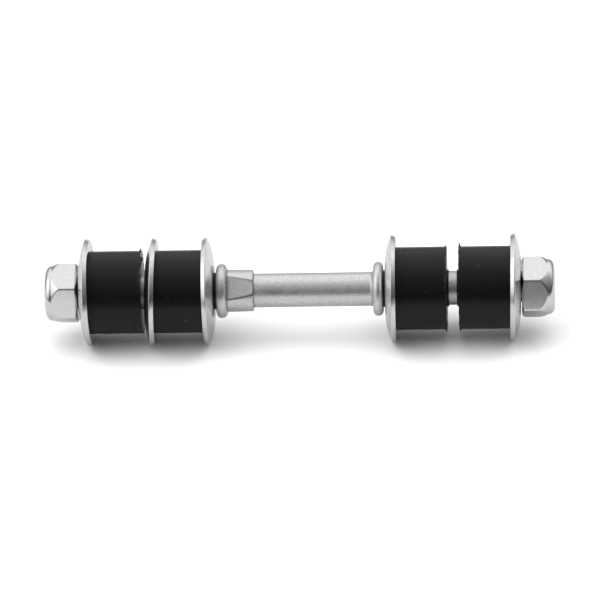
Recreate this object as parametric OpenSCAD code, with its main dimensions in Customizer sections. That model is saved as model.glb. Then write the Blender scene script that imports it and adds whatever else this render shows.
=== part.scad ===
// Stabilizer link of the through-rod kind: a forged rod with two round collars, and on each
// stud a stack of dished washers and rubber bushings held on by a crowned lock nut.
// The rod lies along X with its middle at the origin. Each piece of a stack is drawn standing
// on Z, with +Z pointing outwards from the rod's middle, and is then laid down on its side.

/* [Rod] */
// Diameter of the plain shank between the collars
shank_d = 10; // [9:0.1:11]
// Diameter of the plain part of the studs
stud_d = 10; // [9:0.1:11]
// How much smaller the rolled thread is than the plain stud
thread_drop = 0.15; // [0.05:0.05:0.4]
// Length of thread on each stud
thread_len = 24; // [12:0.5:26]
// Chamfer on the end of each stud
stud_chamfer = 1; // [0.4:0.1:1.6]
// Distance over the outer faces of the two collars
collar_span = 48.1; // [40:0.1:80]
// Diameter of the collars
collar_d = 15.6; // [14.6:0.1:18]
// Width of each collar, which is also the diameter of its rounded edge
collar_w = 2.9; // [2:0.1:4]

/* [Wrench section] */
// Diameter of the section where it meets the left collar
wrench_d = 12.2; // [12:0.1:14]
// Length of the section along the rod
wrench_len = 7.7; // [5:0.1:14]
// How much the section narrows towards its free end, on the diameter
wrench_taper = 0.3; // [0.1:0.1:0.6]
// Height of each flat above the shank where it meets the collar
flat_rise = 0.1; // [0.05:0.05:0.3]
// Draft angle of each flat, which rises away from the collar
flat_draft = 4.4; // [2:0.2:5]
// Chamfer on the free edge of the section
wrench_chamfer = 0.4; // [0.1:0.1:0.5]
// Turn of the rod about its own axis, as it lies
rod_turn = 54; // [0:1:90]

/* [Dished washers] */
// Outside diameter
washer_d = 31; // [28:0.1:36]
// Thickness of the sheet
washer_t = 1.4; // [1:0.1:2.5]
// Diameter of the flat middle
washer_flat_d = 13.5; // [12.5:0.5:18]
// Outside radius of the dished edge
dish_r = 21.5; // [15:0.5:40]
// Radial room between the hole and the lip of a bushing
washer_play = 0.1; // [0.05:0.05:0.4]

/* [Bushings] */
// Outside diameter of the rubber
bush_d = 23.7; // [20:0.1:27]
// Length between the two faces
bush_len = 15.9; // [10:0.1:24]
// Radial room between the bore and the stud
bush_fit = 0.05; // [0.02:0.01:0.1]
// Chamfer on the end without a lip
bush_chamfer = 0.3; // [0.1:0.1:1]
// Wall of the short lip round the bore
lip_wall = 0.25; // [0.2:0.05:0.5]
// Length of that lip
lip_len = 0.6; // [0.3:0.05:0.7]

/* [Lock nuts] */
// Width across the flats
nut_flats = 16; // [15:0.5:19]
// Height from the bearing face to the crown
nut_h = 9.4; // [9:0.1:13]
// Height at which the corners start to round off
nut_shoulder = 4.2; // [3:0.1:5]
// Radius of the rounded corners
nut_dome_r = 6.2; // [5:0.1:9]
// Slope of the corners where they start to round off
nut_dome_start = 12; // [8:1:20]
// Step from the flats in to the crown
crown_step = 0.25; // [0.1:0.05:0.5]
// Radius of the rounded edge of the crown
crown_r = 1.6; // [1:0.1:2]
// Height of the chamfer round the bearing face
nut_base_chamfer = 0.8; // [0.2:0.1:1]
// Radial room between the nut's bore and the thread
thread_fit = 0.075; // [0.03:0.005:0.1]
// Length of stud inside a nut that has been run on by hand
nut_grip = 6; // [4:0.1:6.2]
// Turn of the left nut about its axis
left_nut_turn = 5; // [-30:1:30]
// Turn of the right nut about its axis
right_nut_turn = -9; // [-30:1:30]

/* [Nylon inserts] */
// Radial width of the insert
insert_w = 1.4; // [1:0.1:1.5]
// Thickness of the insert
insert_t = 2.3; // [1.5:0.1:2.4]
// Room between the insert and the nut all round
insert_play = 0.05; // [0.02:0.01:0.1]
// Thickness of the lip that holds the insert in
insert_lip = 0.7; // [0.4:0.1:0.9]

/* [Stacks] */
// Free width between the left outer bushing and the middle washer
left_eye_gap = 0.95; // [0.6:0.05:12]
// Free width between the two right bushings
right_eye_gap = 3.5; // [1.8:0.05:12]
// Play between the left collar and the washer beside it
left_collar_play = 0.65; // [0.2:0.05:0.9]
// Play between the right collar and the washer beside it
right_collar_play = 0.25; // [0.2:0.05:0.9]
// Play between each nut and its washer
nut_play = 0.1; // [0.05:0.05:0.4]
// Play between a bushing and the cup that it sits in
seat_play = 0.1; // [0.05:0.05:0.4]

/* [Hidden] */
$fn = 96;
// Which way a stack points along X
RIGHT = 1;
LEFT = -1;
// A cut runs this far past the face that it leaves
OVER = 1;

// Fits on the stud, all taken from the stud's own diameter
stud_r = stud_d / 2;
thread_r = stud_r - thread_drop / 2;
bore_r = stud_r + bush_fit;
lip_r = bore_r + lip_wall;
hole_r = lip_r + washer_play;
tapped_r = thread_r + thread_fit;

// Washer: a flat middle that runs into an arc, with its rim cut square to the sheet
washer_flat_r = washer_flat_d / 2;
dish_angle = asin((washer_d / 2 - washer_flat_r) / dish_r);
dish_in_r = dish_r - washer_t;
dish_centre_z = -dish_in_r * cos(dish_angle);
washer_h = dish_centre_z + dish_r;

// Height of a cup's inner face above its rim, at radius r outside the flat middle
function cup_z(r) = dish_centre_z + sqrt(pow(dish_in_r, 2) - pow(r - washer_flat_r, 2));
// How deep a bushing sits in a cup, and from its face to the washer's outer flat
seat_depth = cup_z(bush_d / 2) - seat_play;
cup_step = washer_h - seat_depth;

// Distances from the rod's middle along the right stack
half_span = collar_span / 2;
right_inner_flat = half_span + right_collar_play;
right_inner_face = right_inner_flat + cup_step;
right_eye = right_inner_face + bush_len;
right_outer_face = right_eye + right_eye_gap;
right_outer_flat = right_outer_face + bush_len + cup_step;
right_nut_base = right_outer_flat + nut_play;
right_end = right_nut_base + nut_grip;

// Distances from the rod's middle along the left stack, which has a third washer
left_inner_flat = half_span + left_collar_play;
left_inner_face = left_inner_flat + cup_step;
left_middle_flat = left_inner_face + bush_len + cup_step;
left_outer_face = left_middle_flat + left_eye_gap;
left_outer_flat = left_outer_face + bush_len + cup_step;
left_nut_base = left_outer_flat + nut_play;
left_end = left_nut_base + nut_grip;

// Nut: a hexagon with rounded corners, and a round crown closed over the nylon insert
nut_corner_r = nut_flats / sqrt(3);
nut_bearing_r = nut_flats / 2 - 0.6;
crown_out_r = nut_flats / 2 - crown_step;
insert_in_r = tapped_r;
insert_out_r = insert_in_r + insert_w;
insert_top = nut_h - insert_lip;
insert_base = insert_top - insert_t;
nut_mouth_r = insert_in_r + insert_w / 2;

// Lays a piece drawn on Z down along X, its foot at a distance from the rod's middle
module lay(side, distance, turn = 0)
    rotate([0, 90 * side, 0]) translate([0, 0, distance]) rotate([0, 0, turn]) children();

// Turns a piece over, so that its top at height h comes to its foot
module turn_over(h)
    translate([0, 0, h]) rotate([180, 0, 0]) children();

// Half outline of the rod from its middle to one end: shank, collar, plain stud and thread
module rod_outline(end) {
    collar_core_r = (collar_d - collar_w) / 2;
    collar_start = half_span - collar_w;
    thread_start = end - thread_len;
    square([shank_d / 2, half_span]);
    translate([0, collar_start]) square([collar_core_r, collar_w]);
    translate([collar_core_r, collar_start + collar_w / 2]) circle(d = collar_w);
    translate([0, collar_start]) square([stud_r, thread_start - collar_start]);
    polygon([
        [0, thread_start], [thread_r, thread_start], [thread_r, end - stud_chamfer],
        [thread_r - stud_chamfer, end], [0, end],
    ]);
}

// Drafted section beside the left collar, round with two flats for a wrench
module wrench_section() {
    free_r = (wrench_d - wrench_taper) / 2;
    body_len = wrench_len - wrench_chamfer;
    difference() {
        union() {
            cylinder(h = body_len, r1 = wrench_d / 2, r2 = free_r);
            translate([0, 0, body_len])
                cylinder(h = wrench_chamfer, r1 = free_r, r2 = free_r - wrench_chamfer);
        }
        for (half_turn = [0, 180])
            rotate([0, 0, half_turn]) translate([shank_d / 2 + flat_rise, -wrench_d, 0])
                rotate([0, flat_draft, 0]) translate([0, 0, -OVER])
                    cube([wrench_d, 2 * wrench_d, wrench_len + 2 * OVER]);
    }
}

module link_rod()
    color("silver") lay(RIGHT, 0, rod_turn) {
        rotate_extrude() {
            rod_outline(right_end);
            mirror([0, 1]) rod_outline(left_end);
        }
        translate([0, 0, collar_w - half_span]) wrench_section();
    }

// Dished washer, its rim at z = 0 and its outer flat on top
module washer()
    color("lightgray") rotate_extrude() {
        translate([hole_r, washer_h - washer_t]) square([washer_flat_r - hole_r, washer_t]);
        translate([washer_flat_r, dish_centre_z]) intersection() {
            difference() {
                circle(dish_r);
                circle(dish_in_r);
            }
            polygon([[0, 0], [0, 2 * dish_r], [2 * dish_r * tan(dish_angle), 2 * dish_r]]);
        }
    }

// Washer whose outer flat faces the rod's middle, at a distance from it
module inward_washer(side, distance)
    lay(side, distance) turn_over(washer_h) washer();

// Washer whose outer flat faces away from the rod's middle, at a distance from it
module outward_washer(side, distance)
    lay(side, distance - washer_h) washer();

// Rubber bushing with its plain end at z = 0 and the lip round its bore at the other end
module bushing()
    color([0.1, 0.1, 0.1]) rotate_extrude() polygon([
        [bore_r, 0], [bush_d / 2 - bush_chamfer, 0], [bush_d / 2, bush_chamfer],
        [bush_d / 2, bush_len], [lip_r, bush_len], [lip_r, bush_len + lip_len],
        [bore_r, bush_len + lip_len],
    ]);

// Outline of the nut's turned surface: bearing chamfer, rounded corners and crown
module nut_outline() {
    crown_centre_r = crown_out_r - crown_r;
    crown_centre_z = nut_h - crown_r;
    polygon([
        [0, 0], [nut_bearing_r, 0], [nut_corner_r, nut_base_chamfer],
        [nut_corner_r, nut_shoulder], [0, nut_shoulder],
    ]);
    intersection() {
        translate([
            nut_corner_r - nut_dome_r * cos(nut_dome_start),
            nut_shoulder - nut_dome_r * sin(nut_dome_start),
        ]) circle(nut_dome_r);
        square([nut_corner_r, crown_centre_z]);
    }
    square([crown_centre_r, nut_h]);
    translate([crown_centre_r, crown_centre_z]) circle(crown_r);
}

// Outline of what is bored out of the nut: tapped hole, insert's groove and mouth
module nut_bore_outline() {
    translate([0, -OVER]) square([tapped_r, nut_h]);
    translate([0, insert_base - insert_play])
        square([insert_out_r + insert_play, insert_t + 2 * insert_play]);
    translate([0, insert_top]) square([nut_mouth_r, insert_lip + OVER]);
}

module lock_nut()
    color("gainsboro") difference() {
        intersection() {
            cylinder(h = nut_h, r = nut_corner_r, $fn = 6);
            rotate_extrude() nut_outline();
        }
        rotate_extrude() nut_bore_outline();
    }

module nut_insert()
    color("white") rotate_extrude()
        translate([insert_in_r, insert_base]) square([insert_w, insert_t]);

module left_inner_washer() inward_washer(LEFT, left_inner_flat);
module left_inner_bushing() lay(LEFT, left_inner_face) turn_over(bush_len) bushing();
module left_middle_washer() outward_washer(LEFT, left_middle_flat);
module left_outer_bushing() lay(LEFT, left_outer_face) bushing();
module left_outer_washer() outward_washer(LEFT, left_outer_flat);
module left_lock_nut() lay(LEFT, left_nut_base, left_nut_turn) lock_nut();
module left_nut_insert() lay(LEFT, left_nut_base) nut_insert();

module right_inner_washer() inward_washer(RIGHT, right_inner_flat);
module right_inner_bushing() lay(RIGHT, right_inner_face) bushing();
module right_outer_bushing() lay(RIGHT, right_outer_face) turn_over(bush_len) bushing();
module right_outer_washer() outward_washer(RIGHT, right_outer_flat);
module right_lock_nut() lay(RIGHT, right_nut_base, right_nut_turn) lock_nut();
module right_nut_insert() lay(RIGHT, right_nut_base) nut_insert();

link_rod();
left_inner_washer();
left_inner_bushing();
left_middle_washer();
left_outer_bushing();
left_outer_washer();
left_lock_nut();
left_nut_insert();
right_inner_washer();
right_inner_bushing();
right_outer_bushing();
right_outer_washer();
right_lock_nut();
right_nut_insert();
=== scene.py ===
import bpy
import numpy as np
from mathutils import Matrix, Vector


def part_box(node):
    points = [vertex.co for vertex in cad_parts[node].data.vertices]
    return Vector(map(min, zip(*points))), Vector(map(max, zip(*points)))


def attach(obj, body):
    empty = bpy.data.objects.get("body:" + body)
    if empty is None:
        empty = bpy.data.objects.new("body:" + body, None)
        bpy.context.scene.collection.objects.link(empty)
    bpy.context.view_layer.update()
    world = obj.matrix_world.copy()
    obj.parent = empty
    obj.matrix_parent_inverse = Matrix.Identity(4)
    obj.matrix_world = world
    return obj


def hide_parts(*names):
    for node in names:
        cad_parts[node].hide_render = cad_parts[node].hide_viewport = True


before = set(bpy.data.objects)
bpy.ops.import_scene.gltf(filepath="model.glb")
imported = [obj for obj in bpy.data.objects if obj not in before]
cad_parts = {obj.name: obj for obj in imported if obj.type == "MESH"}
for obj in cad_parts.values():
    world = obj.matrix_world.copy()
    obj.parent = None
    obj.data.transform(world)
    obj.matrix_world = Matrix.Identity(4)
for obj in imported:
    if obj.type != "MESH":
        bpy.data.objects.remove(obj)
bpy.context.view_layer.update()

# Link rod: one forging of plain carbon steel. Two collars are upset on it, two tapering flats for a
# wrench are pressed beside the left collar, the stud ends get a rolled thread, and it is zinc plated.
MM = 0.001
rod_low, rod_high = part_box("link_rod")
rod_left, rod_right = rod_low.x, rod_high.x
shank_r = 4.9 * MM
stud_r = 4.9 * MM
collar_r, collar_round, collar_fillet = 7.8 * MM, 1.42 * MM, 0.8 * MM
collar_out = 24.05 * MM
left_collar_in, right_collar_in = 20.95 * MM, 21.15 * MM
wrench_r, wrench_free_r, wrench_round = 6.1 * MM, 5.95 * MM, 0.25 * MM
wrench_end = -13.35 * MM
undercut, undercut_len = 0.12 * MM, 0.3 * MM
flat_half, flat_draft, flat_turn = 5.02 * MM, np.radians(4.4), np.radians(36)
flat_blend = 0.03 * MM
# Shade painted along the creases at the flats' edges and at the feet of the step and collars: width and
# strength.
crease_wide, crease_sink, crease_shade = 0.1 * MM, 0.5 * undercut, 0.7
foot_wide, foot_shade = 0.16 * MM, 0.4
thread_r, thread_len = 4.85 * MM, 24 * MM
thread_pitch, thread_depth = 1.25 * MM, 0.7 * MM
thread_crest, thread_root = 1 / 8, 1 / 4
thread_run_out = 0.2 * MM
left_thread_end, right_thread_end = rod_left + thread_len, rod_right - thread_len
stud_chamfer, stud_round = 1.0 * MM, 0.2 * MM
sharp_edge, eased_edge = 0.05 * MM, 0.1 * MM


def outline(corners, longest, closed=True, fine=()):
    """Points along straight lines with rounded corners. A corner (along, radius, rounding) cuts its two
    lines back by rounding / tan(half the angle between them), and an arc joins the cuts. No step is over
    the longest. Where an open outline runs one way along the axis, each (from, to, step) of fine gives a
    smaller step there."""
    arc_points, least_step = 8, 1e-8
    corners = np.asarray(corners, float)
    points, rounding = corners[:, :2], corners[:, 2:]
    back, ahead = np.roll(points, 1, 0) - points, np.roll(points, -1, 0) - points
    back /= np.linalg.norm(back, axis=1, keepdims=True)
    ahead /= np.linalg.norm(ahead, axis=1, keepdims=True)
    half = np.arccos(np.clip((back * ahead).sum(1, keepdims=True), -1, 1)) / 2
    middle = (back + ahead) / np.linalg.norm(back + ahead, axis=1, keepdims=True)
    centre = points + middle * rounding / np.sin(half)
    start, end = (points + side * rounding / np.tan(half) - centre for side in (back, ahead))
    sweep = np.pi - 2 * half
    share = np.linspace(0, 1, arc_points)[None, :]
    from_start = (np.sin((1 - share) * sweep) / np.sin(sweep))[:, :, None]
    from_end = (np.sin(share * sweep) / np.sin(sweep))[:, :, None]
    path = (centre[:, None] + from_start * start[:, None] + from_end * end[:, None]).reshape(-1, 2)
    if closed:
        path = np.concatenate([path, path[:1]])
    gone = np.concatenate([[0], np.cumsum(np.linalg.norm(np.diff(path, axis=0), axis=1))])
    marks = [gone, np.arange(0, gone[-1], longest)]
    marks += [np.interp(np.arange(low, high, step), path[:, 0], gone) for low, high, step in fine]
    marks = np.unique(np.concatenate(marks))
    marks = marks[np.append(True, np.diff(marks) > least_step)]
    path = np.stack([np.interp(marks, gone, path[:, 0]), np.interp(marks, gone, path[:, 1])], 1)
    return path[:-1] if closed else path


def turned_piece(name, along, radius, turn, poles=False, lean=(0.0, 0.0), painted_shade=0.0):
    """A surface round the X axis. Rows of the grids are points of an outline and columns are angles: a
    point lies at (along, -radius cos turn, radius sin turn), so turn counts up from the front. The last
    row joins the first, or with poles the first and last row are one point each. A lean moves a point
    along the axis in proportion to its height and its depth. The last argument, painted shade, is kept
    with the points for the material: it is 0 where the surface keeps its own colour, and up to 1 where
    shade is painted into it."""
    along, radius, turn, painted_shade = np.broadcast_arrays(along, radius, turn, painted_shade)
    rows, columns = radius.shape
    outwards = np.sum(np.diff(along[:, 0]) * (radius[1:, 0] + radius[:-1, 0])) > 0
    points = np.stack([along, -radius * np.cos(turn), radius * np.sin(turn), painted_shade], 2)
    points[:, :, 0] += points[:, :, 2] * lean[0] + points[:, :, 1] * lean[1]
    number = np.arange(rows * columns).reshape(rows, columns)
    if poles:
        points = np.concatenate([points[0, :1], points[1:-1].reshape(-1, 4), points[-1, :1]])
        number = np.clip(number - columns + 1, 0, len(points) - 1)
    else:
        number = np.concatenate([number, number[:1]])
    beside = np.roll(number, -1, 1)
    faces = np.stack([number[:-1], number[1:], beside[1:], beside[:-1]], 2)
    if poles:
        first, last = faces[0][:, :3], faces[-1][:, [0, 1, 3]]
        faces = [*first.tolist(), *faces[1:-1].reshape(-1, 4).tolist(), *last.tolist()]
    else:
        faces = faces.reshape(-1, 4)[:, ::1 if outwards else -1].tolist()
    points = points.reshape(-1, 4)
    mesh = bpy.data.meshes.new(name)
    mesh.from_pydata(points[:, :3], [], faces)
    kept_shade = mesh.attributes.new("painted_shade", "FLOAT", "POINT")
    kept_shade.data.foreach_set("value", points[:, 3].astype(np.float32))
    mesh.polygons.foreach_set("use_smooth", np.ones(len(mesh.polygons), bool))
    piece = bpy.data.objects.new(name, mesh)
    bpy.context.scene.collection.objects.link(piece)
    return piece


def rolled_thread(along, turn):
    """Radius of a right-hand thread: its height falls from the crest to the root and back along each
    pitch, with a flat crest and a flat root that each take their share of the pitch."""
    phase = np.abs((along / thread_pitch + turn / (2 * np.pi)) % 1 - 0.5) * 2
    fall = (phase - thread_crest) / (1 - thread_root - thread_crest)
    return thread_r - thread_depth * np.clip(fall, 0, 1)


# Columns crowd where the edges of the flats run, which a flat's taper spreads over these cosines.
rod_columns = 204
edge_cosine, edge_spread, edge_crowding = 0.88, 0.07, 2.5
around = np.linspace(-np.pi, np.pi, 3601)
from_edge = np.abs(np.abs(np.cos(around - flat_turn)) - edge_cosine)
crowd = np.cumsum(1 + edge_crowding * (from_edge < edge_spread))
rod_turn = np.interp(np.linspace(0, 1, rod_columns, endpoint=False), crowd / crowd[-1], around)[None, :]

rod_step, wrench_step, thread_step = 1.5 * MM, 0.3 * MM, thread_pitch / 5
rod_path = outline([
    (rod_left, 0, 0), (rod_left, thread_r - stud_chamfer, eased_edge),
    (rod_left + stud_chamfer, thread_r, stud_round), (left_thread_end, thread_r, sharp_edge),
    (left_thread_end + thread_run_out, stud_r, sharp_edge), (-collar_out, stud_r, eased_edge),
    (-collar_out, collar_r, collar_round), (-left_collar_in, collar_r, collar_round),
    (-left_collar_in, wrench_r - undercut, sharp_edge),
    (-left_collar_in + undercut_len, wrench_r, eased_edge),
    (wrench_end, wrench_free_r, wrench_round), (wrench_end, shank_r - undercut, sharp_edge),
    (wrench_end + undercut_len, shank_r, eased_edge), (right_collar_in, shank_r, collar_fillet),
    (right_collar_in, collar_r, collar_round), (collar_out, collar_r, collar_round),
    (collar_out, stud_r, eased_edge), (right_thread_end - thread_run_out, stud_r, sharp_edge),
    (right_thread_end, thread_r, sharp_edge), (rod_right - stud_chamfer, thread_r, stud_round),
    (rod_right, thread_r - stud_chamfer, eased_edge), (rod_right, 0, 0),
], rod_step, closed=False, fine=[(rod_left, left_thread_end, thread_step),
                                 (-left_collar_in, wrench_end, wrench_step),
                                 (right_thread_end, rod_right, thread_step)])
rod_along, rod_radius = rod_path[:, :1], rod_path[:, 1:]
on_thread = (rod_along < left_thread_end) | (rod_along > right_thread_end)
threaded = np.minimum(rod_radius, rolled_thread(rod_along, rod_turn))
rod_radius = np.where(on_thread, threaded, rod_radius)

# A flat cuts the wrench section at its distance over the cosine of the angle from its middle. A soft
# minimum blends the two radii, and a crease, with shade painted into it, is sunk along their meeting.
hair, least_cosine = 0.02 * MM, 0.3
flat_distance = flat_half + (rod_along + left_collar_in) * np.tan(flat_draft)
flat_radius = flat_distance / np.maximum(np.abs(np.cos(rod_turn - flat_turn)), least_cosine)
flatted = -flat_blend * np.logaddexp(-rod_radius / flat_blend, -flat_radius / flat_blend)
on_wrench = (rod_along > -left_collar_in + hair) & (rod_along < wrench_end + hair)
crease = np.exp(-((rod_radius - flat_radius) / crease_wide) ** 2) * on_wrench
creased = np.maximum(flatted - crease_sink * crease, shank_r - undercut)
rod_radius = np.where(on_wrench, creased, rod_radius)
# Painted shade: dark lines at the foot of the step and of each collar, and along the creases of the flats.
shaded_feet = (wrench_end + 0.1 * MM, 0.1 * MM - left_collar_in, right_collar_in - 0.3 * MM)
feet = sum(np.exp(-((rod_along - foot) / foot_wide) ** 2) for foot in shaded_feet)
link_rod = turned_piece("link_rod_forging", rod_along, rod_radius, rod_turn, poles=True,
                        painted_shade=np.minimum(crease_shade * crease + foot_shade * feet, 1))
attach(link_rod, "rod")
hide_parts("link_rod")


def linear(hex_colour):
    """An sRGB hex colour as linear red, green, blue and alpha."""
    value = np.array([int(hex_colour[i:i + 2], 16) / 255 for i in (1, 3, 5)])
    value = np.where(value <= 0.04045, value / 12.92, ((value + 0.055) / 1.055) ** 2.4)
    return (*value, 1.0)


def add_node(tree, kind, inputs=None, **settings):
    """Adds a node, makes its settings, and gives its inputs a value each or a link from a socket."""
    made = tree.nodes.new(kind)
    for key, value in settings.items():
        setattr(made, key, value)
    for key, value in (inputs or {}).items():
        if isinstance(value, bpy.types.NodeSocket):
            tree.links.new(value, made.inputs[key])
        else:
            made.inputs[key].default_value = value
    return made


def new_material(name):
    """A material with its node tree, its surface shader and the place on the object."""
    material = bpy.data.materials.new(name)
    material.use_nodes = True
    tree = material.node_tree
    place = add_node(tree, "ShaderNodeTexCoord").outputs["Object"]
    return material, tree, tree.nodes["Principled BSDF"], place


# Most values of a noise lie in this range, so a pattern that spans it uses all of its tones.
noise_range = {"From Min": 0.3, "From Max": 0.7}


def zinc_plate(name, dark, pale, grain, roughness, bump):
    """Zinc plate on steel. A fine noise, the grain, stands for the skin under the plate: it lifts the
    surface and mottles its tint. A broad noise clouds its polish, and shade is painted in a grey where
    the piece's points ask for it."""
    cloud_wide, painted_shade_colour = 2.5 * MM, "#5b5b5b"
    material, tree, surface, place = new_material(name)
    skin = add_node(tree, "ShaderNodeTexNoise", {"Vector": place, "Scale": 1 / grain, "Detail": 2.0})
    mottle = add_node(tree, "ShaderNodeMapRange", {**noise_range, "Value": skin.outputs["Fac"]})
    tint = add_node(tree, "ShaderNodeMix", {"Factor": mottle.outputs["Result"], "A": linear(dark),
                                            "B": linear(pale)}, data_type="RGBA")
    # Painted shade: a mid grey mixed into the tint as far as the piece's painted shade attribute asks.
    shade_mask = add_node(tree, "ShaderNodeAttribute", attribute_name="painted_shade").outputs["Fac"]
    tint = add_node(tree, "ShaderNodeMix", {"Factor": shade_mask, "A": tint.outputs["Result"],
                                            "B": linear(painted_shade_colour)}, data_type="RGBA")
    cloud = add_node(tree, "ShaderNodeTexNoise", {"Vector": place, "Scale": 1 / cloud_wide, "Detail": 4.0})
    polish = add_node(tree, "ShaderNodeMapRange", {**noise_range, "Value": cloud.outputs["Fac"],
                                                   "To Min": roughness[0], "To Max": roughness[1]})
    lift = add_node(tree, "ShaderNodeBump", {"Height": skin.outputs["Fac"], "Strength": 1.0,
                                             "Distance": bump})
    tree.links.new(tint.outputs["Result"], surface.inputs["Base Color"])
    tree.links.new(polish.outputs["Result"], surface.inputs["Roughness"])
    tree.links.new(lift.outputs["Normal"], surface.inputs["Normal"])
    surface.inputs["Metallic"].default_value = 1.0
    return material


# Forged steel, zinc plated: the scale is blasted off before plating, so it is a pale, dull grey with a
# fine mottled grain. The real grain, about 0.2 mm, is drawn at 0.4 mm so that it shows.
forged_zinc = zinc_plate("forged_zinc_plate", "#c2c2c2", "#e4e4e4", 0.4 * MM, (0.34, 0.44), 0.058 * MM)
link_rod.data.materials.append(forged_zinc)

# Dished washers: blanked from 1.4 mm steel strip, pressed into a shallow cup round a flat middle,
# and zinc plated. They sit loose on the stud, so each one leans its own way by a degree or so.
washer_t = 1.4 * MM
washer_r = 15.65 * MM
washer_flat_r = 6.75 * MM
washer_hole_r = 5.4 * MM
dish_r = 20.8 * MM
hole_edge, cup_edge, back_edge = 0.25 * MM, 0.12 * MM, 0.22 * MM
strip_flat = washer_flat_r - washer_hole_r
strip_len = strip_flat + dish_r * np.arcsin((washer_r - washer_flat_r) / (dish_r + washer_t / 2))
washer_step, washer_columns = 0.3 * MM, 256
washer_turn = np.linspace(0, 2 * np.pi, washer_columns, endpoint=False)[None, :]


def dished_washer(body, outwards, shift, lean):
    """A strip with rounded edges, bent into the dish: along the strip the radius grows straight over
    the flat middle, and from there the strip follows an arc to the rim. Outwards is 1 where the back
    faces right and -1 where it faces left. The shift is along the axis, and the lean is in degrees."""
    half_t = washer_t / 2
    strip, across = outline([(0, -half_t, hole_edge), (strip_len, -half_t, cup_edge),
                             (strip_len, half_t, back_edge), (0, half_t, hole_edge)], washer_step).T
    bent = np.maximum(strip - strip_flat, 0) / dish_r
    radius = washer_hole_r + np.minimum(strip, strip_flat) + (dish_r + across) * np.sin(bent)
    height = (dish_r + across) * np.cos(bent) - dish_r - half_t
    low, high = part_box(body)
    along = (high.x if outwards > 0 else low.x) + shift + outwards * height
    piece = turned_piece(body + "_pressing", along[:, None], radius[:, None], washer_turn,
                         lean=np.radians(lean))
    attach(piece, body)
    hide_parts(body)
    return piece


# Rolled strip, zinc plated: smoother than the forging, so it mirrors the room softly, with cloudy
# patches and faint waves of a millimetre or so.
pressed_zinc = zinc_plate("pressed_zinc_plate", "#d3d3d3", "#dfdfdf", 1.4 * MM, (0.19, 0.27), 0.006 * MM)
for body, outwards, shift, lean in (
        ("left_outer_washer", -1, 0.5 * MM, (-1.35, 0.3)),
        ("left_middle_washer", -1, 0.22 * MM, (1.7, 0.0)),
        ("left_inner_washer", 1, 0.05 * MM, (-0.3, -0.7)),
        ("right_inner_washer", -1, 0.25 * MM, (0.3, -0.45)),
        ("right_outer_washer", 1, -0.25 * MM, (1.2, -0.45))):
    dished_washer(body, outwards, shift, lean).data.materials.append(pressed_zinc)

# Bushings: moulded in black rubber and pushed on to the studs. An end in a washer's cup stops short of
# the cup's wall. The mould parts at a free end, where ragged flash stands out, with a nib here and there.
bush_r, bush_len = 11.93 * MM, 15.9 * MM
bore_r, lip_r = 5.05 * MM, 5.3 * MM
bore_edge, rim_edge, lip_edge = 0.15 * MM, 0.12 * MM, 0.08 * MM
flash_thick, flash_tall, flash_from, flash_full = 0.32 * MM, 0.12 * MM, 0.96 * bush_r, 0.99 * bush_r
wave_tall, wave_long = 0.05 * MM, 0.075 * MM
bush_step, bush_columns = 0.4 * MM, 320
bush_turn = np.linspace(0, 2 * np.pi, bush_columns, endpoint=False)[None, :]


def moulded_bushing(node, body, lip_side, lip_len, nose_len, plain_short, lip_short, flash):
    """A ring round the stud with straight sides, a lip round the bore at one end and on some a nose at
    the other. Lip_side is 1 where the lip is at the right. An end in a cup is short by a length over 0,
    and an end at 0 or less is free. Close to a free end, flash adds to the radius and to the length: a
    few waves round the edge, and for each piece of flash (degrees, tall, long, wide) a peak
    exp(-(angle from it / wide) ** 4), with tall and long in mm and wide in degrees."""
    lip_face, lip_end = bush_len - lip_short, bush_len + lip_len
    nose = [(-nose_len, bore_r, lip_edge), (-nose_len, lip_r, lip_edge), (plain_short, lip_r, lip_edge)]
    height, radius = outline([*(nose if nose_len else [(plain_short, bore_r, bore_edge)]),
                              (plain_short, bush_r, rim_edge), (lip_face, bush_r, rim_edge),
                              (lip_face, lip_r, lip_edge), (lip_end, lip_r, lip_edge),
                              (lip_end, bore_r, lip_edge)], bush_step).T
    beats = np.sin(5 * bush_turn + 1) * np.sin(13 * bush_turn)
    waves = beats + np.sin(31 * bush_turn) ** 3
    ragged, torn = flash_tall + wave_tall * waves, wave_long * waves
    for degrees, tall, long, wide in flash:
        away = (bush_turn - np.radians(degrees) + np.pi) % (2 * np.pi) - np.pi
        peak = np.exp(-(away / np.radians(wide)) ** 4)
        ragged, torn = ragged + tall * MM * peak, torn + long * MM * peak
    free_end = plain_short if plain_short <= 0 else bush_len
    at_end = np.exp(-((height - free_end) / flash_thick) ** 4) * (min(plain_short, lip_short) <= 0)
    at_rim = np.clip((radius - flash_from) / (flash_full - flash_from), 0, 1)
    fin = (at_end * at_rim)[:, None]
    stretched = height[:, None] + (1 if free_end > 0 else -1) * fin * torn
    low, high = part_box(node)
    plain_end = low.x if lip_side > 0 else high.x
    piece = turned_piece(node + "_moulding", plain_end + lip_side * stretched,
                         radius[:, None] + fin * ragged, bush_turn)
    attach(piece, body)
    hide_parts(node)
    return piece


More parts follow.
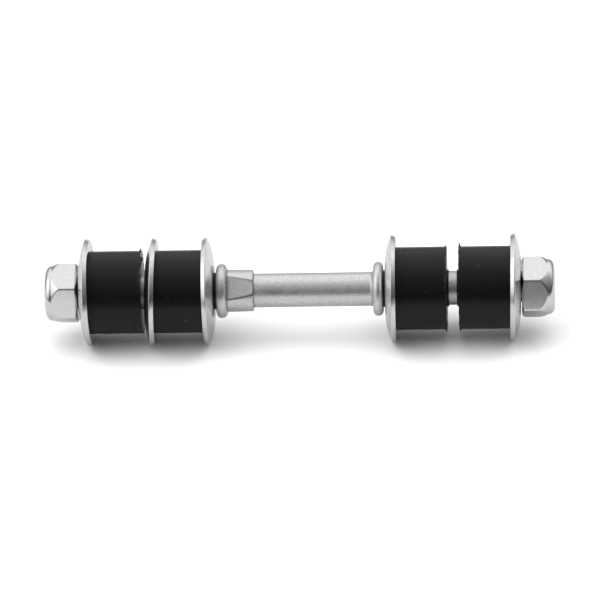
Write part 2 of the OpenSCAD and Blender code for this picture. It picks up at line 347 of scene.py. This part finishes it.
# Moulded black rubber: almost black, with a dull shine, faint rings left by the mould and dust specks.
# Seen at a slant, an end face mirrors what is beside it. The pores of the skin, finer than the picture
# can show, are drawn at 0.6 mm.
pore_wide, ring_wide, ring_reach = 0.6 * MM, 0.5 * MM, 25 * MM
dust_apart, speck_core, speck_edge = 4 * MM, 0.12 * MM, 0.22 * MM
rubber, tree, surface, place = new_material("moulded_black_rubber")
pores = add_node(tree, "ShaderNodeTexNoise", {"Vector": place, "Scale": 1 / pore_wide, "Detail": 3.0})
ringed = add_node(tree, "ShaderNodeMapping", {"Vector": place, "Scale": (1 / ring_wide, 1 / ring_reach,
                                                                        1 / ring_reach)})
rings = add_node(tree, "ShaderNodeTexNoise", {"Vector": ringed.outputs["Vector"], "Scale": 1.0,
                                              "Detail": 2.0})
dust = add_node(tree, "ShaderNodeTexVoronoi", {"Vector": place, "Scale": 1 / dust_apart})
speck = add_node(tree, "ShaderNodeMapRange", {"Value": dust.outputs["Distance"],
                                              "From Min": speck_core / dust_apart,
                                              "From Max": speck_edge / dust_apart,
                                              "To Min": 1.0, "To Max": 0.0})
tint = add_node(tree, "ShaderNodeMix", {"Factor": speck.outputs["Result"], "A": linear("#0a0a0a"),
                                        "B": linear("#505050")}, data_type="RGBA")
polish = add_node(tree, "ShaderNodeMapRange", {**noise_range, "Value": rings.outputs["Fac"],
                                               "To Min": 0.27, "To Max": 0.36})
lift = add_node(tree, "ShaderNodeBump", {"Height": pores.outputs["Fac"], "Strength": 1.0,
                                         "Distance": 0.02 * MM})
tree.links.new(tint.outputs["Result"], surface.inputs["Base Color"])
tree.links.new(polish.outputs["Result"], surface.inputs["Roughness"])
tree.links.new(lift.outputs["Normal"], surface.inputs["Normal"])
surface.inputs["Specular IOR Level"].default_value = 0.23
for node, body, lip_side, lip_len, nose_len, plain_short, lip_short, flash in (
        ("left_outer_bushing", "left_outer_bushing", -1, 0.6 * MM, 0.0, -0.25 * MM, 0.78 * MM,
         [(116, 0.9, 0, 1.8), (106, 0.4, 0, 2), (81, 0, 0.5, 5), (73, 0, 0.6, 10), (-25, 0, 0.42, 70)]),
        ("left_inner_bushing", "rod", 1, 2.68 * MM, 0.0, 0.6 * MM, 0.12 * MM, []),
        ("right_inner_bushing", "rod", 1, 0.6 * MM, 2.3 * MM, 0.36 * MM, 0.0,
         [(117, 0.35, 0, 1.5), (96, 0.3, 0, 1.5), (88, 0.25, 0, 2), (-62, 0.7, 0, 1.6)]),
        ("right_outer_bushing", "right_outer_bushing", -1, 0.6 * MM, 0.0, 0.52 * MM, 0.0,
         [(117, 1.35, 0, 2), (90, 0.3, 0, 2), (-62, 0.7, 0, 1.6)])):
    bushing = moulded_bushing(node, body, lip_side, lip_len, nose_len, plain_short, lip_short, flash)
    bushing.data.materials.append(rubber)

# Lock nuts: cold formed from steel wire, 16 mm across the flats, with a round crown closed over a
# nylon insert, and zinc plated. They are run on until the stud almost meets the nylon.
nut_h = 9.4 * MM
nut_half_flats = 8.0 * MM
nut_corner_r = nut_half_flats / np.cos(np.pi / 6)
nut_face, nut_bearing_r, bearing_round = 0.1 * MM, 7.9 * MM, 0.15 * MM
nut_base_chamfer, base_round = 0.6 * MM, 0.2 * MM
nut_shoulder, shoulder_round = 4.85 * MM, 0.4 * MM
dome_r, dome_start, dome_end = 8.7 * MM, np.radians(18), np.radians(36)
dome_round, dip_round = 0.88 * dome_r, 0.3 * MM
crown_r, crown_round = 7.95 * MM, 2.05 * MM
nut_mouth_r, nut_lip = 5.45 * MM, 0.7 * MM
groove_r, groove_base = 6.45 * MM, 6.35 * MM
tapped_r, tapped_chamfer = 5.0 * MM, 0.4 * MM
hexagon_power, nut_blend = 110, 0.04 * MM
# Painted shade over the base chamfer: how far it fades up the nut, and its strength.
chamfer_shade_fade, chamfer_shade = 0.2 * MM, 0.55
nut_step, nut_columns = 0.35 * MM, 360
nut_turn = np.linspace(0, 2 * np.pi, nut_columns, endpoint=False)[None, :]


def crowned_nut(body, outwards, corner):
    """The nut's turned outline, cut by six flats. A flat's radius at an angle is half the width across
    flats over the cosine of the angle from its middle, and a sum of high powers blends the six. The
    turned and the flat radius meet in a soft minimum. Corner is the angle of one corner."""
    tangent = dome_r * np.tan((dome_end - dome_start) / 2)
    start, end = (np.array([np.cos(fall), -np.sin(fall)]) for fall in (dome_start, dome_end))
    bend = np.array([nut_shoulder, nut_corner_r]) + tangent * start
    dip = bend + tangent * end
    lip_base = nut_h - nut_lip
    height, radius = outline([
        (-nut_face, tapped_r + tapped_chamfer, sharp_edge), (-nut_face, nut_bearing_r, bearing_round),
        (nut_base_chamfer, nut_corner_r, base_round), (nut_shoulder, nut_corner_r, shoulder_round),
        (*bend, dome_round), (*dip, dip_round), (nut_h, crown_r, crown_round),
        (nut_h, nut_mouth_r, eased_edge), (lip_base, nut_mouth_r, sharp_edge),
        (lip_base, groove_r, sharp_edge), (groove_base, groove_r, sharp_edge),
        (groove_base, tapped_r, sharp_edge), (tapped_chamfer, tapped_r, sharp_edge),
    ], nut_step).T
    six = np.maximum(np.cos(nut_turn - np.pi / 6 - np.arange(6)[:, None] * np.pi / 3), 0)
    hexagon = nut_half_flats / (six ** hexagon_power).sum(0, keepdims=True) ** (1 / hexagon_power)
    radius = -nut_blend * np.logaddexp(-radius[:, None] / nut_blend, -hexagon / nut_blend)
    # Painted shade on the base chamfer, fading out above it.
    chamfer = np.clip((nut_base_chamfer - height[:, None]) / chamfer_shade_fade, 0, 1)
    low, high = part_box(body)
    along = (low.x if outwards > 0 else high.x) + outwards * height
    piece = turned_piece(body + "_forming", along[:, None], radius, nut_turn + corner,
                         painted_shade=chamfer_shade * chamfer)
    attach(piece, body)
    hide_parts(body)
    return piece


# Cold-formed steel, zinc plated: the brightest of the metals. The dies leave its flats almost a mirror,
# with faint ripples of a millimetre, and shade is painted over the chamfer at its base.
nut_zinc = zinc_plate("nut_zinc_plate", "#d2d2d2", "#d9d9d9", 1.1 * MM, (0.13, 0.18), 0.004 * MM)
for body, outwards, corner in (("left_lock_nut", -1, 35.0), ("right_lock_nut", 1, 39.5)):
    crowned_nut(body, outwards, np.radians(corner)).data.materials.append(nut_zinc)

# Nylon inserts: rings turned from natural nylon and closed in under the nuts' crowns. They grip the stud
# once a nut is run on that far. The solids have their shape.
# Natural nylon: cream, a little cloudy, and with the soft sheen of a cut plastic.
nylon_cloud = 1.5 * MM
nylon, tree, surface, place = new_material("natural_nylon")
cloud = add_node(tree, "ShaderNodeTexNoise", {"Vector": place, "Scale": 1 / nylon_cloud, "Detail": 2.0})
tint = add_node(tree, "ShaderNodeMix", {"Factor": cloud.outputs["Fac"], "A": linear("#d8d3c2"),
                                        "B": linear("#e6e2d4")}, data_type="RGBA")
polish = add_node(tree, "ShaderNodeMapRange", {**noise_range, "Value": cloud.outputs["Fac"],
                                               "To Min": 0.4, "To Max": 0.52})
lift = add_node(tree, "ShaderNodeBump", {"Height": cloud.outputs["Fac"], "Strength": 1.0,
                                         "Distance": 0.01 * MM})
tree.links.new(tint.outputs["Result"], surface.inputs["Base Color"])
tree.links.new(polish.outputs["Result"], surface.inputs["Roughness"])
tree.links.new(lift.outputs["Normal"], surface.inputs["Normal"])
for name in ("left_nut_insert", "right_nut_insert"):
    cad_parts[name].data.materials.clear()
    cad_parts[name].data.materials.append(nylon)

# Table: a white sheet that the link lies on, its five washers touching it. The camera sees white to the
# picture's edge; in what the metal mirrors, a painted reflection greys the sheet and, a little way in
# front, darkens it to a dark band.
table_z = -15.58 * MM
table_reach = 6.0
# Where the painted dark band in the reflections begins in front, and how far it fades in.
dark_band_front, dark_band_fade = -60 * MM, 45 * MM
table_corners = [(side * table_reach, depth * table_reach, table_z)
                 for side, depth in ((-1, -1), (1, -1), (1, 1), (-1, 1))]
table_mesh = bpy.data.meshes.new("table")
table_mesh.from_pydata(table_corners, [], [(0, 1, 2, 3)])
table = bpy.data.objects.new("table", table_mesh)
bpy.context.scene.collection.objects.link(table)
# White paper: matt and even. What a mirror shows of it is painted greyer than what the camera sees.
paper, tree, surface, place = new_material("white_paper")
# Painted reflection: for mirror rays only, the paper is grey near the link and darkens to a dark band in
# front.
depth = add_node(tree, "ShaderNodeSeparateXYZ", {"Vector": place}).outputs["Y"]
painted_dark_band = add_node(tree, "ShaderNodeMapRange", {"Value": depth, "From Min": dark_band_front - dark_band_fade,
                                              "From Max": dark_band_front, "To Min": 1.0, "To Max": 0.0},
                 interpolation_type="SMOOTHSTEP")
painted_reflection = add_node(tree, "ShaderNodeMix", {"Factor": painted_dark_band.outputs["Result"], "A": linear("#d4d4d4"),
                                            "B": linear("#707070")}, data_type="RGBA")
rays = add_node(tree, "ShaderNodeLightPath")
sheet = add_node(tree, "ShaderNodeMix", {"Factor": rays.outputs["Is Glossy Ray"], "A": linear("#fbfbfb"),
                                         "B": painted_reflection.outputs["Result"]}, data_type="RGBA")
tree.links.new(sheet.outputs["Result"], surface.inputs["Base Color"])
surface.inputs["Roughness"].default_value = 0.9
surface.inputs["Specular IOR Level"].default_value = 0.0
table_mesh.materials.append(paper)

# Studio: a white tent, brightest overhead, with an opening for the camera through which a dark room
# shows, a pale card at the left, and a soft box over the table. The camera itself sees plain white.
room_side, room_up = np.radians(20), np.radians(16)
room_towards = (np.sin(room_side) * np.cos(room_up), -np.cos(room_side) * np.cos(room_up), np.sin(room_up))
room_edge, room_core, room_glow = np.cos(np.radians(88)), np.cos(np.radians(24)), 0.25
card_towards = (-0.83, -0.37, 0.42)
card_edge, card_core, card_glow = np.cos(np.radians(45)), np.cos(np.radians(15)), 0.8
tent_low_glow, tent_top_glow, tent_top = 0.12, 1.2, 0.7
world = bpy.data.worlds.new("studio")
world.use_nodes = True
bpy.context.scene.world = world
tree = world.node_tree
tent = tree.nodes["Background"]
towards = add_node(tree, "ShaderNodeTexCoord").outputs["Generated"]
to_room = add_node(tree, "ShaderNodeVectorMath", {0: towards, 1: room_towards}, operation="DOT_PRODUCT")
opening = add_node(tree, "ShaderNodeMapRange", {"Value": to_room.outputs["Value"], "From Min": room_edge,
                                                "From Max": room_core, "To Min": 1.0, "To Max": room_glow},
                   interpolation_type="SMOOTHSTEP")
height = add_node(tree, "ShaderNodeSeparateXYZ", {"Vector": towards}).outputs["Z"]
cloth = add_node(tree, "ShaderNodeMapRange", {"Value": height, "From Min": 0.0, "From Max": tent_top,
                                              "To Min": tent_low_glow, "To Max": tent_top_glow})
glow = add_node(tree, "ShaderNodeMath", {0: opening.outputs["Result"], 1: cloth.outputs["Result"]},
                operation="MULTIPLY")
to_card = add_node(tree, "ShaderNodeVectorMath", {0: towards, 1: card_towards}, operation="DOT_PRODUCT")
card = add_node(tree, "ShaderNodeMapRange", {"Value": to_card.outputs["Value"], "From Min": card_edge,
                                             "From Max": card_core, "To Min": 0.0, "To Max": card_glow},
                interpolation_type="SMOOTHSTEP")
glow = add_node(tree, "ShaderNodeMath", {0: glow.outputs["Value"], 1: card.outputs["Result"]},
                operation="ADD")
rays = add_node(tree, "ShaderNodeLightPath")
seen = add_node(tree, "ShaderNodeMix", {"Factor": rays.outputs["Is Camera Ray"], "A": glow.outputs["Value"],
                                        "B": 1.0}, data_type="FLOAT")
tree.links.new(seen.outputs["Result"], tent.inputs["Strength"])
tent.inputs["Color"].default_value = (1, 1, 1, 1)
lamp = bpy.data.lights.new("soft_box", "AREA")
lamp.shape = "RECTANGLE"
lamp.size, lamp.size_y = 1.6, 1.2
lamp.energy = 7.8
soft_box = bpy.data.objects.new("soft_box", lamp)
soft_box.location = (0, -0.25, 0.8)
soft_box.visible_glossy = False
bpy.context.scene.collection.objects.link(soft_box)

# Camera: a long lens above the link, a little to the right of its middle and rolled by about two
# degrees. At the rod's axis a pixel of the picture, which is 600 wide, covers 0.2882 mm.
camera_far = 1.6
camera_turn, camera_up, camera_roll = np.radians(3.2), np.radians(28.0), np.radians(2.28)
picture_wide, pixel = 600, 0.2882 * MM
aim_below = 10.1 * pixel
sensor_wide = 36.0
camera_data = bpy.data.cameras.new("camera")
camera_data.sensor_width = sensor_wide
camera_data.lens = sensor_wide * camera_far / (picture_wide * pixel)
camera = bpy.data.objects.new("camera", camera_data)
bpy.context.scene.collection.objects.link(camera)
bpy.context.scene.camera = camera
back = Vector((np.sin(camera_turn) * np.cos(camera_up), -np.cos(camera_turn) * np.cos(camera_up),
               np.sin(camera_up)))
level = (-back).to_track_quat("-Z", "Y")
rolled = level @ Matrix.Rotation(-camera_roll, 3, "Z").to_quaternion()
camera.location = rolled @ Vector((0, -aim_below, 0)) + back * camera_far
camera.rotation_mode = "QUATERNION"
camera.rotation_quaternion = rolled
bpy.context.scene.view_settings.view_transform = "Standard"
